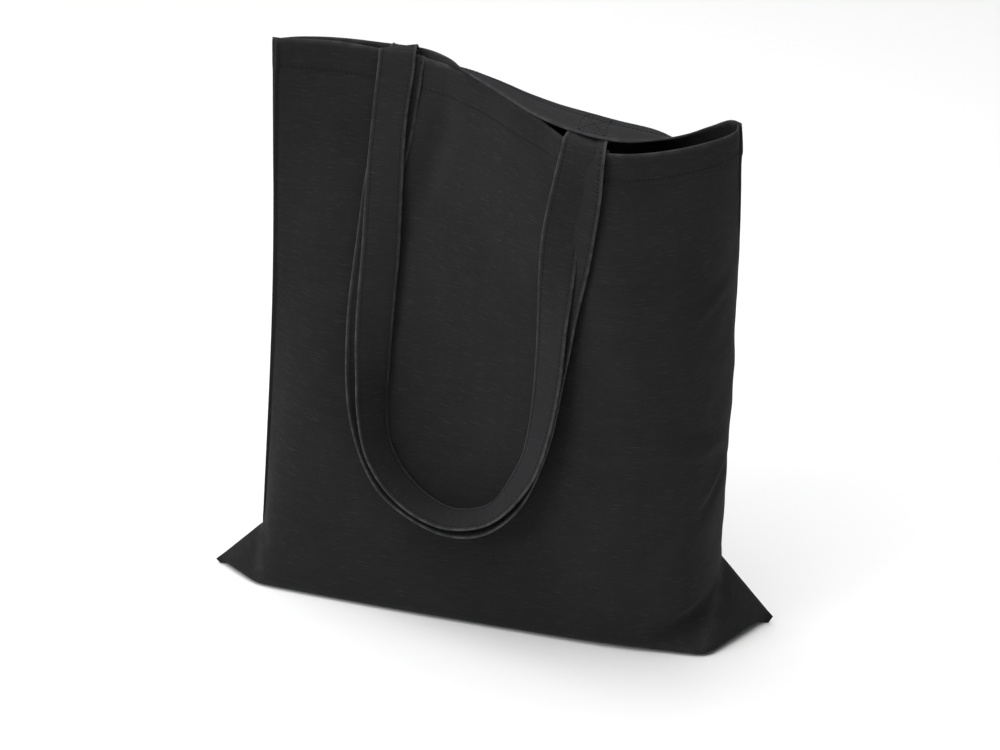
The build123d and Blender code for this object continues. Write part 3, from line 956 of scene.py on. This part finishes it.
BACK = Panel(
    name="back_panel", side=Side.BACK,
    tip_left=(-188.5, 0.6, 3.0), tip_right=(188.5, 41.5, 5.0),
    seam=((-188.5, 0.4, 0.6), (-125, 0.0, 0.6), (-62, 1.0, 0.6), (10, 3.9, 0.6), (77, 8.0, 0.6), (135, 22.4, 0.6),
          (188.5, 41.4, 0.6)),
    corner_left=(34.0, 24.0), corner_right=(PANEL_WIDTH - 40.0, 24.0), ridge=RIDGE,
    levels=(
        Level(24, ((-150, 14, 1), (-50, 28, 1), (50, 42, 1), (150, 56, 1))),
        Level(RIDGE, ((-156.7, 3.4, 36), (-115, 15, 31), (-46, 23, 28), (31, 31, 28), (108, 43, 34), (141, 47, 42),
                      (152.5, 37.2, 47.6))),
        Level(228, ((-154, 12, 209), (-120, 20, 204), (-46, 22, 201), (31, 15, 200), (92, 15, 203), (136, 29, 210),
                    (155, 24, 217))),
        Level(362, ((-155, 13, 341), (-140, 22, 340), (-117, 27, 339), (-90, 30, 340), (-65, 33, 347), (-34, 27, 360),
                    (-7, 17, 364), (21, 3, 366), (53, -10, 366), (83, -18, 366), (110, -20, 363), (130, -22, 353),
                    (147, -15, 344), (158, -7, 340))),
        Level(380, ((-155, 13, 359), (-140, 23, 358), (-117, 28, 357), (-90, 31, 359), (-65, 34, 368), (-34, 21, 380),
                    (-7, 10, 382.4), (21, -5, 383), (53, -18, 383), (83, -26, 383), (110, -28, 381), (127, -30, 374),
                    (144, -22, 362), (158, -11, 358))),
        Level(395, ((-155, 13, 373), (-140, 24, 371), (-117, 31, 370), (-90, 36, 370), (-64, 35, 376),
                    (-31, 18, 384), (-4, 2, 385), (26, -19, 385.6), (56, -35, 386.4), (83, -43, 386.6),
                    (104, -44, 386), (122, -38, 383), (142, -24, 376), (158.3, -13, 373))),
        Level(PANEL_HEIGHT, ((-155, 14.5, 387), (-140, 25, 386), (-117, 33, 385), (-90, 37, 384), (-62, 37, 384),
                             (-41, 25, 385), (-28, 12, 385), (-2, -10, 385.5), (30, -38, 386), (59, -56, 386.8),
                             (83, -62, 387), (97, -60, 386.6), (117, -47, 386), (128, -38, 386), (141, -24, 387),
                             (151, -14, 388), (158.5, -14, 388))),
    ),
    creases=(
        Crease((250, 350), (200, 250), 2.2, 16.0),
        Crease((90, 330), (130, 220), -1.8, 18.0),
        Crease((352, 150), (310, 120), 1.6, 7.0),
        Crease((24, 160), (70, 120), 1.4, 8.0),
    ),
    ripples=(Ripple(21, 0.9, 70, 190, 0.6), Ripple(22, 0.22, 22, 50, 0.3)),
)


# ---------------------------------------------------------------------------
# Handles
# ---------------------------------------------------------------------------
@dataclass(frozen=True)
class Stop:
    """Place along a hanging strap, with its gap to the wall and how far it is twisted, in degrees."""

    x: float
    z: float
    gap: float
    lean: float


def ribbon(name: str, line: Points, facing: Points, ripple: Points,
           start_flat: float) -> tuple[bpy.types.Object, Points, Points]:
    """Folded strap of canvas along a line, a little thinner at its two rows of stitches.

    Args:
        name: Name of the piece.
        line: Middle of the strap.
        facing: Direction in which its outer face looks.
        ripple: Small lift of the outer face along the strap.
        start_flat: Place of its first section on the flat strap.

    Returns:
        The piece, the direction across it and its corrected facing.
    """
    ahead = unit(np.gradient(line, axis=0))
    across = unit(np.cross(ahead, facing))
    facing = unit(np.cross(across, ahead))
    half, thick = STRAP_WIDTH / 2, STRAP_THICKNESS / 2
    spread = np.linspace(-1, 1, 19) * (half - thick)
    dip = 0.22 * bump(np.abs(spread) - (half - EDGE_INSET), 0.9)
    profile = [(u, thick - d) for u, d in zip(spread, dip)]
    profile += [(half - thick + thick * cos(a), thick * sin(a)) for a in (pi / 4, 0, -pi / 4)]
    profile += [(u, d - thick) for u, d in zip(spread[::-1], dip)]
    profile += [(-half + thick - thick * cos(a), thick * sin(a)) for a in (-pi / 4, 0, pi / 4)]
    profile = np.array(profile)
    run = run_along(line) + start_flat
    grid = (line[:, None] + across[:, None] * profile[None, :, :1] + facing[:, None] * profile[None, :, 1:]
            + facing[:, None] * ripple[:, None, None])
    count, around = grid.shape[:2]
    cloth = np.stack([np.broadcast_to(profile[None, :, 0], (count, around)),
                      np.broadcast_to(run[:, None], (count, around))], axis=-1)
    # Lightened strap edges: wear plus painted highlight where light catches them.
    wear_and_highlight = np.broadcast_to(bump(np.abs(profile[:, 0]) - half, 0.9)[None], (count, around))
    faces = grid_faces(around, count, 0, False, wrap=True)
    faces.append(tuple(range(around))[::-1])
    faces.append(tuple(range((count - 1) * around, count * around)))
    piece = new_object(name, grid.reshape(-1, 3), faces, cloth.reshape(-1, 2), wear_and_highlight.ravel())
    return piece, across, facing


@dataclass
class HandleLoop:
    """Hanging part of one handle, from the rim on the left round its bend to the rim on the right."""

    node: str
    body: Body
    over_left: tuple[Spot, ...]
    stops: tuple[Stop, ...]
    over_right: tuple[Spot, ...]
    seed: int
    length: float = field(init=False)

    def line(self, front: Panel) -> tuple[Points, Points]:
        """Middle of the strap and the direction in which it faces.

        Args:
            front: The panel that it hangs on.

        Returns:
            Points along the strap, and facings.
        """
        hanging = [(stop.x, front.depth_at(stop.x, stop.z) - stop.gap, stop.z) for stop in self.stops]
        spots = list(self.over_left) + hanging + list(self.over_right)
        line = smooth_line(tuple(spots), 300)
        knots = np.array([np.argmin(np.linalg.norm(line - np.array(spot), axis=1)) for spot in hanging], float)
        twists = np.array([stop.lean for stop in self.stops], float)
        at = np.clip(np.arange(len(line), dtype=float), knots[0], knots[-1])
        lean = np.radians(hermite(knots, twists, at))
        ahead = unit(np.gradient(line, axis=0))
        forward = np.array([0.0, -1.0, 0.0])
        outward = unit(forward - ahead * (ahead @ forward)[:, None])
        side = np.cross(ahead, outward)
        facing = outward * np.cos(lean)[:, None] + side * np.sin(lean)[:, None]
        return line, self._over_rim(line, facing, knots)

    def _over_rim(self, line: Points, facing: Points, knots: Points) -> Points:
        """Carry the facing on over the rim, past the first and last stops.

        Args:
            line: Middle of the strap.
            facing: Facing at each point of the line.
            knots: Where the stops are along the line.

        Returns:
            The facing all along the strap.
        """
        ahead = unit(np.gradient(line, axis=0))
        first, last = int(knots[0]), int(knots[-1])
        fixed = facing.copy()
        for index in list(range(first, -1, -1)) + list(range(last, len(line))):
            before = fixed[index + 1] if index < first else fixed[index - 1] if index > last else facing[index]
            fixed[index] = unit(before - ahead[index] * (before @ ahead[index]))
        return fixed

    def build(self, front: Panel, wardrobe: Wardrobe) -> tuple[bpy.types.Object, bpy.types.Object]:
        """Make the loop and its stitches, which bend where they leave the rim.

        Args:
            front: The panel that the loop hangs on.
            wardrobe: The finishes.

        Returns:
            The strap and its stitches.
        """
        line, facing = self.line(front)
        random = np.random.default_rng(self.seed)
        step = np.linspace(0, 1, len(line))
        ripple = sum(random.uniform(0.05, 0.14) * np.sin(2 * pi * step * random.uniform(5, 16) + random.uniform(0, 6))
                     for _ in range(5))
        strap, across, facing = ribbon(f"{self.node}_strap", line, facing, ripple, 0.0)
        wardrobe.dress(strap, WEBBING)
        run = run_along(line)
        LOG.info("%s is %.0f mm long", strap.name, run[-1])
        self.length = float(run[-1])
        at = np.arange(2.0, run[-1] - 2, STITCH_PITCH)
        places, normals, along = [], [], []
        for offset in (STRAP_WIDTH / 2 - EDGE_INSET, EDGE_INSET - STRAP_WIDTH / 2):
            for look in (1, -1):
                edge = line + across * offset + facing * (look * (STRAP_THICKNESS / 2 - 0.1) + ripple[:, None])
                spots = read_at(run, edge, at)
                places.append(spots)
                normals.append(read_at(run, facing, at) * look)
                along.append(np.gradient(spots, axis=0))
        thread = stitch_row(f"{self.node}_edge_thread", np.vstack(places), unit(np.vstack(normals)),
                            np.vstack(along), STITCH_LENGTH, EDGE_THREAD)
        wardrobe.dress(thread, YARN)
        for piece, node in ((strap, self.node), (thread, f"{self.node}_stitching")):
            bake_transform(piece)
            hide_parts(node)
        return strap, thread


@dataclass(frozen=True)
class HandleEnd:
    """Hidden end of a handle, sewn flat to the inside of a hem, which runs up to where its loop starts."""

    node: str
    x: float
    meet: Spot

    def build(self, panel: Panel, wardrobe: Wardrobe) -> bpy.types.Object:
        """Make the end.

        Args:
            panel: The panel that it is sewn to.
            wardrobe: The finishes.

        Returns:
            The piece.
        """
        y = np.linspace(PANEL_HEIGHT - END_DEPTH, PANEL_HEIGHT - 6, 8)
        places, normals = panel.at(np.full_like(y, panel.flat_x(self.x)), y)
        inside = places - normals * (CLOTH + HEM_EXTRA + STRAP_THICKNESS / 2 + 0.15)
        line = smooth_line(tuple(tuple(p) for p in inside[::3]) + (self.meet,), 40)
        ahead = unit(np.gradient(line, axis=0))
        facing = np.zeros_like(line)
        before = -normals[0]
        for index, direction in enumerate(ahead):
            before = unit(before - direction * (before @ direction))
            facing[index] = before
        piece, _, _ = ribbon(f"{self.node}_strap", line, facing, np.zeros(len(line)), 700.0)
        return wardrobe.fix_to_bag(piece, WEBBING, self.node)


FRONT_LOOP = HandleLoop(
    node="front_handle", body=Body.FRONT_LOOP, seed=31,
    over_left=((-70.6, 31.2, 381.2), (-70.7, 30.9, 382.8), (-71.0, 28.8, 383.9)),
    stops=(
        Stop(-71, 376, 2.3, 0), Stop(-74, 340, 2.8, 4), Stop(-80, 300, 3.2, -2), Stop(-83, 255, 4.0, -8),
        Stop(-85, 200, 6.0, -22), Stop(-80, 140, 10.0, -48), Stop(-63, 102, 12.8, -66),
        Stop(-38, 84.5, 13.6, -80), Stop(-14, 79.5, 13.9, -84), Stop(10, 88, 13.3, -78),
        Stop(28, 110, 11.0, -62), Stop(41, 148, 7.6, -46), Stop(49, 203, 5.6, -32), Stop(57, 257, 4.6, -24),
        Stop(65, 302, 3.8, -20), Stop(71, 345, 3.0, -20), Stop(73, 372, 2.4, -20),
    ),
    over_right=((73.2, -61.6, 380.6), (73.6, -58.4, 378.6), (73.8, -57.8, 377.2)),
)
BACK_LOOP = HandleLoop(
    node="back_handle", body=Body.BACK_LOOP, seed=32,
    over_left=((-77.0, 33.9, 381.2), (-77.0, 33.3, 383.8), (-76.8, 30.6, 385.9), (-76.4, 26.8, 385.6)),
    stops=(
        Stop(-76, 376, 4.9, 2), Stop(-78, 345, 5.8, 10), Stop(-78.5, 300, 7.0, 0), Stop(-77.5, 255, 8.5, -12),
        Stop(-78, 205, 10.0, -26), Stop(-77, 175, 11.6, -42), Stop(-76, 150, 12.8, -54),
        Stop(-70, 122, 13.8, -64), Stop(-57, 102, 14.3, -72), Stop(-38, 89.5, 14.8, -80),
        Stop(-15, 84.5, 15.0, -85), Stop(8, 93.5, 14.8, -80), Stop(24, 111, 14.0, -66),
        Stop(36, 134, 12.4, -56), Stop(44, 165, 11.0, -46), Stop(49, 210, 9.8, -34), Stop(51, 250, 9.2, -26),
        Stop(53, 278, 9.0, -12), Stop(56, 312, 8.4, 0), Stop(63, 350, 6.4, 2), Stop(67.5, 374, 4.9, -8),
    ),
    over_right=((68.6, -62.6, 381.9), (69.4, -58.6, 383.2), (70.6, -51.0, 383.6)),
)
ENDS = (
    (FRONT, HandleEnd("front_handle_left_end", -70.6, (-70.6, 31.2, 381.4))),
    (FRONT, HandleEnd("front_handle_right_end", 73.8, (73.8, -57.8, 377.4))),
    (BACK, HandleEnd("back_handle_left_end", -77.0, (-77.0, 33.9, 381.4))),
    (BACK, HandleEnd("back_handle_right_end", 71.0, (70.6, -51.0, 383.6))),
)
BOXES = (
    (FRONT, "front_left_box_stitch", -70.6), (FRONT, "front_right_box_stitch", 73.8),
    (BACK, "back_left_box_stitch", -77.0), (BACK, "back_right_box_stitch", 71.0),
)


# ---------------------------------------------------------------------------
# Seams
# ---------------------------------------------------------------------------
@dataclass(frozen=True)
class Seam:
    """Overlocked seam allowance on the inside of the bag."""

    node: str
    width: float = 8.0
    thickness: float = 1.0

    def build(self, near: Points, inward: Points, wardrobe: Wardrobe) -> bpy.types.Object:
        """Make the seam with the wrapped thread of its raw edge.

        Args:
            near: Line of its sewn edge.
            inward: Direction across it, away from the sewn edge.
            wardrobe: The finishes.

        Returns:
            The piece.
        """
        ahead = unit(np.gradient(near, axis=0))
        inward = unit(inward - ahead * (inward * ahead).sum(1, keepdims=True))
        up = unit(np.cross(ahead, inward))
        share = np.linspace(0, 1, 9)
        run = run_along(near)
        wrap = 0.18 * np.sin(run * 2 * pi / 2.6)[:, None] * (share > 0.35)[None]
        half = (self.thickness / 2 * np.sqrt(1 - (2 * share - 1) ** 6 * 0.8))[None] + wrap
        flat = near[:, None] + inward[:, None] * (share * self.width)[None, :, None]
        top, under = flat + up[:, None] * half[..., None], flat - up[:, None] * half[..., None]
        cloth = np.stack(np.broadcast_arrays(share[None] * self.width, run[:, None]), axis=-1)
        # Lightened raw edge: wear plus painted highlight.
        wear_and_highlight = np.broadcast_to(share > 0.9, half.shape).astype(float)
        piece = shell(f"{self.node}_overlock", top, under, cloth, wear_and_highlight, False)
        return wardrobe.fix_to_bag(piece, OVERLOCK, self.node)


def side_seam_line(left: bool) -> tuple[Points, Points]:
    """Line and inward direction of a side seam, between the side edges of the two panels.

    Args:
        left: Whether it is the seam on the left.

    Returns:
        The sewn edge's line and the direction into the bag.
    """
    at, aside = (0, 8) if left else (-1, -9)
    rows = slice(int((RIDGE + 4) / CELL), int((PANEL_HEIGHT - HEM_DEPTH - 4) / CELL))
    edge = (FRONT.grid[rows, at] + BACK.grid[rows, at]) / 2
    within = (FRONT.grid[rows, aside] + BACK.grid[rows, aside]) / 2
    inward = unit(within - edge)
    line = edge + inward * 3.4
    fine = np.linspace(0, len(line) - 1, len(line) * 3)
    own = np.arange(len(line))
    return read_at(own, line, fine), read_at(own, inward, fine)


def bottom_seam_line() -> tuple[Points, Points]:
    """Line and inward direction of the bottom seam, which lies back on the bag's floor."""
    line = smooth_line(FRONT.seam, 520)[60:-60]
    line[:, 1] -= 3.0
    line[:, 2] = 2.3
    return line, np.tile(np.array([0.0, 1.0, 0.0]), (len(line), 1))


# ---------------------------------------------------------------------------
# Set
# ---------------------------------------------------------------------------
@dataclass(frozen=True)
class SoftBox:
    """Large soft light."""

    name: str
    place: Spot
    aim: Spot
    size: tuple[float, float]
    power: float

    def build(self) -> bpy.types.Object:
        """Make the light."""
        light = bpy.data.lights.new(self.name, "AREA")
        light.shape, light.size, light.size_y, light.energy = "RECTANGLE", self.size[0], self.size[1], self.power
        holder = bpy.data.objects.new(self.name, light)
        bpy.context.scene.collection.objects.link(holder)
        holder.location = self.place
        holder.rotation_euler = (Vector(self.aim) - Vector(self.place)).to_track_quat("-Z", "Y").to_euler()
        return holder


LIGHTS = (
    SoftBox("overhead_softbox", (-0.35, -0.2, 2.5), (0.0, 0.0, 0.0), (3.3, 3.2), 120.0),
    SoftBox("left_softbox", (-2.0, -2.2, 1.5), (0.0, 0.0, 0.2), (1.6, 1.6), 46.0),
    SoftBox("right_softbox", (2.4, 0.6, 1.0), (0.0, 0.0, 0.2), (1.0, 1.3), 1.0),
)


def white_room() -> None:
    """Make the white floor and the even white surroundings."""
    world = bpy.data.worlds.new("white_surroundings")
    bpy.context.scene.world = world
    world.use_nodes = True
    background = world.node_tree.nodes["Background"]
    background.inputs["Color"].default_value = (1.0, 1.0, 1.0, 1.0)
    background.inputs["Strength"].default_value = 0.24
    material = bpy.data.materials.new("white_floor")
    material.use_nodes = True
    nodes = Nodes(material.node_tree)
    shader = material.node_tree.nodes["Principled BSDF"]
    place = nodes.add("ShaderNodeTexCoord")
    speckle = nodes.noise(place.outputs["Object"], (4.0, 4.0, 4.0), 2.0)
    nodes.link(nodes.span(speckle, 0.3, 0.7, 0.16, 0.20), shader.inputs["Roughness"])
    shader.inputs["Base Color"].default_value = (0.80, 0.80, 0.80, 1.0)
    shader.inputs["Specular IOR Level"].default_value = 0.35
    mesh = bpy.data.meshes.new("floor")
    reach = 14.0
    mesh.from_pydata([(-reach, -reach, 0), (reach, -reach, 0), (reach, reach, 0), (-reach, reach, 0)], [],
                     [(0, 1, 2, 3)])
    floor = bpy.data.objects.new("floor", mesh)
    bpy.context.scene.collection.objects.link(floor)
    floor.data.materials.append(material)
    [light.build() for light in LIGHTS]
    bpy.context.scene.view_settings.view_transform = "Standard"


def set_camera() -> None:
    """Set the long-lens camera that looks down at the bag from the front, a little to its right."""
    azimuth, elevation, roll = radians(14.406), radians(28.0), radians(2.0)
    right = Vector((cos(azimuth), sin(azimuth), 0))
    back = Vector((sin(azimuth) * cos(elevation), -cos(azimuth) * cos(elevation), sin(elevation)))
    up = back.cross(right)
    across = right * cos(roll) + up * sin(roll)
    upright = up * cos(roll) - right * sin(roll)
    lens = bpy.data.cameras.new("long_lens")
    lens.lens, lens.sensor_width, lens.clip_end = 164.4, 36.0, 100.0
    camera = bpy.data.objects.new("long_lens", lens)
    bpy.context.scene.collection.objects.link(camera)
    turn = Matrix((across, upright, back)).transposed().to_4x4()
    camera.matrix_world = Matrix.Translation((0.65920, -2.54510, 1.57460)) @ turn
    bpy.context.scene.camera = camera


# ---------------------------------------------------------------------------
# Bag
# ---------------------------------------------------------------------------
@dataclass
class ToteBag:
    """The whole bag."""

    wardrobe: Wardrobe

    def build(self) -> None:
        """Make every piece of the bag."""
        panels = self._panels()
        self._seams()
        self._handles()

    def _panels(self) -> dict[Side, bpy.types.Object]:
        """Make the two panels and their hem stitching.

        Returns:
            The cloth of each panel.
        """
        pieces = {}
        for panel in (BACK, FRONT):
            panel.place()
        for panel in (FRONT, BACK):
            cloth = panel.build(self.wardrobe)
            hem = panel.hem_stitches(self.wardrobe)
            boxes = [panel.box_stitches(label, panel.flat_x(x), self.wardrobe)
                     for owner, label, x in BOXES if owner is panel]
            LOG.info("%s has %d faces", cloth.name, len(cloth.data.polygons))
            pieces[panel.side] = cloth
        return pieces

    def _seams(self) -> None:
        """Make the three overlocked seams."""
        for node, line in (("left_side_seam", side_seam_line(True)), ("right_side_seam", side_seam_line(False)),
                           ("bottom_seam", bottom_seam_line())):
            piece = Seam(node).build(*line, self.wardrobe)
            LOG.info("%s has %d faces", piece.name, len(piece.data.polygons))

    def _handles(self) -> None:
        """Make both handles.
        """
        for loop in (FRONT_LOOP, BACK_LOOP):
            strap, thread = loop.build(FRONT, self.wardrobe)
        for panel, end in ENDS:
            piece = end.build(panel, self.wardrobe)
            LOG.info("%s is sewn to %s", piece.name, panel.name)


def main() -> None:
    """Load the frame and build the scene."""
    logging.basicConfig(level=logging.INFO, format="%(name)s: %(message)s")
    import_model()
    set_camera()
    white_room()
    ToteBag(Wardrobe()).build()


if __name__ == "__main__":
    main()
